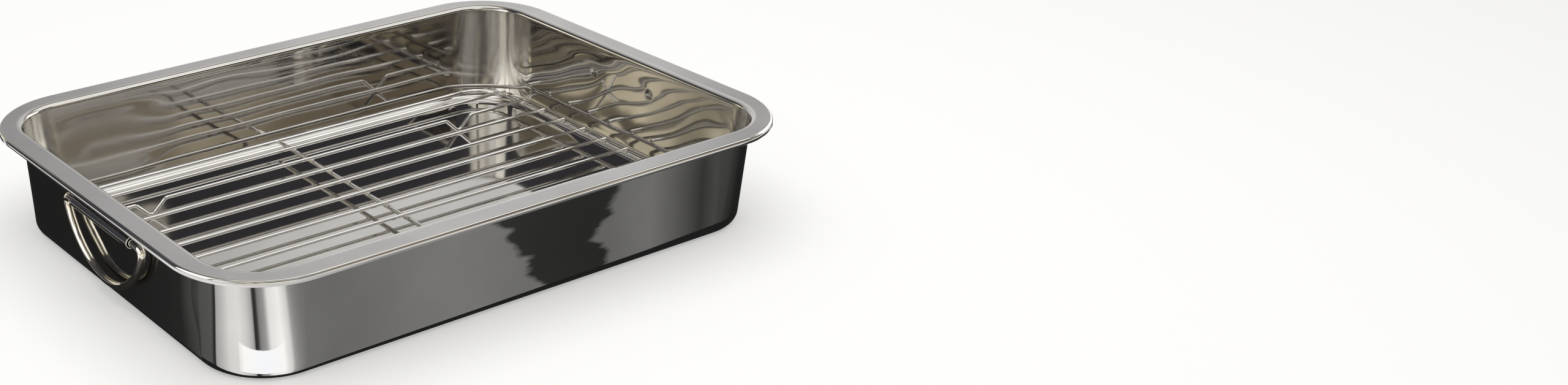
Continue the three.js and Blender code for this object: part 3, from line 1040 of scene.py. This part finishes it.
def make_room_cards():
    """Cards that stand round the pan and hang over it."""
    upright_card(
        "back_card", (-20, 560), (1300, 560), 20, ROOM_TOP,
        greys((0, 0.42), (0.09, 0.58), (0.26, 0.8), (0.55, 0.8), (0.68, 0.5), (1, 0.4)),
    )
    make_front_cards()
    make_left_cards()
    upright_card("right_card", (600, -250), (600, 250), 100, 400, WHITE)
    make_camera_cards()
    ceiling = [(x, y, CEILING_Z) for x, y in ((-500, -800), (-500, 700), (1300, 700), (1300, -800))]
    make_card(
        "top_card", ceiling,
        greys((0, 0.7), (0.43, 0.85), (0.52, 1.7), (0.63, 1.7))
        + tints((0.73, 0.4, 0.36, 0.28), (1, 0.3, 0.26, 0.2)),
    )


def make_softbox(name, place, aim, size, watts):
    """A soft lamp that the steel doesn't mirror."""
    data = bpy.data.lights.new(name, "AREA")
    data.shape = "RECTANGLE"
    data.size, data.size_y = size[0] * MM, size[1] * MM
    data.energy = watts
    lamp = bpy.data.objects.new(name, data)
    lamp.location = Vector(place) * MM
    lamp.rotation_euler = (Vector(aim) - Vector(place)).to_track_quat("-Z", "Y").to_euler()
    bpy.context.scene.collection.objects.link(lamp)
    lamp.visible_glossy = False


def make_world():
    world = bpy.data.worlds.new("studio")
    bpy.context.scene.world = world
    tree = Tree(world)
    values = {"Color": colour(1, 0.985, 0.96), "Strength": WORLD_STRENGTH}
    tree.output(tree.add("ShaderNodeBackground", values), world=True)


def make_camera():
    data = bpy.data.cameras.new("photo_camera")
    data.sensor_fit = "HORIZONTAL"
    data.sensor_width = CAMERA_SENSOR
    data.lens = CAMERA_LENS
    data.shift_x, data.shift_y = CAMERA_SHIFT
    data.clip_start, data.clip_end = 0.01, 50
    camera = bpy.data.objects.new("photo_camera", data)
    look = (Vector(CAMERA_AIM) - Vector(CAMERA_PLACE)).to_track_quat("-Z", "Y").to_matrix().to_4x4()
    roll = Matrix.Rotation(CAMERA_ROLL, 4, "Z")
    camera.matrix_world = Matrix.Translation(Vector(CAMERA_PLACE) * MM) @ look @ roll
    bpy.context.scene.collection.objects.link(camera)
    bpy.context.scene.camera = camera


# The whole object


def place_piece(piece, body, slot, nodes, *materials):
    """Makes a fine mesh stand for CAD nodes: it rides on their body and has these materials."""
    for material in materials:
        piece.data.materials.append(material)
    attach(piece, body)
    if nodes:
        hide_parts(*nodes)


def make_object():
    outside = steel(
        "pan_outside", colour(0.64, 0.63, 0.61), colour(0.58, 0.57, 0.55),
        roughness=(0.03, 0.06), grain=(6, 500, 0.00008))
    inside = steel(
        "pan_inside", colour(0.642, 0.626, 0.598), colour(0.582, 0.567, 0.541),
        roughness=(0.03, 0.06), grain=(6, 500, 0.00008), haze=0.1)
    satin = steel(
        "rim_satin", colour(0.57, 0.56, 0.555), colour(0.5, 0.49, 0.485),
        roughness=(0.16, 0.22), grain=(8, 2200, 0.0006))
    rolled = steel(
        "bracket_polish", colour(0.62, 0.61, 0.6), colour(0.55, 0.54, 0.53),
        roughness=(0.08, 0.14), grain=(200, 200, 0.0002), scratch=0.0005)
    sheared = steel(
        "bracket_sheared", colour(0.86, 0.85, 0.83), colour(0.76, 0.75, 0.73),
        roughness=(0.34, 0.46), grain=(900, 900, 0.002), scratch=0.001)
    bail = steel(
        "handle_polish", colour(0.84, 0.8, 0.72), colour(0.74, 0.68, 0.58),
        roughness=(0.06, 0.12), grain=(150, 150, 0.0002), scratch=0.0005)
    wire = steel(
        "rack_polish", colour(0.84, 0.835, 0.825), colour(0.76, 0.753, 0.738),
        roughness=(0.04, 0.08), grain=(150, 150, 0.0002), scratch=0.0002)
    place_piece(make_pan(), "pan", "pan_steel", ["pan_body"], outside, inside, satin)
    for side, sign in (("left", -1), ("right", 1)):
        bracket = make_bracket(f"hinge_bracket_{side}_fine", sign)
        place_piece(bracket, "pan", "bracket_steel", [f"hinge_bracket_{side}"], rolled, sheared)
        handle = make_handle(f"handle_{side}_fine", sign)
        place_piece(handle, f"handle_{side}", "handle_wire", [f"handle_{side}"], bail)
    place_piece(make_rack_frame(), "rack", "rack_wire", ["rack_frame"], wire)
    place_piece(make_cross_bar(), "rack", "rack_wire", ["rack_cross_bar"], wire)
    for number in range(1, BAR_COUNT + 1):
        place_piece(make_rack_bar(number), "rack", "rack_wire", [f"rack_bar_{number}"], wire)
    place_piece(make_rack_welds(), "rack", "rack_wire", [], wire)


make_object()
make_floor()
make_table_cards()
make_room_cards()
make_softbox("top_softbox", place=(0, -50, CEILING_Z), aim=(0, -50, 0), size=(1300, 1300), watts=6)
make_world()
make_camera()
bpy.context.scene.view_settings.view_transform = "Standard"
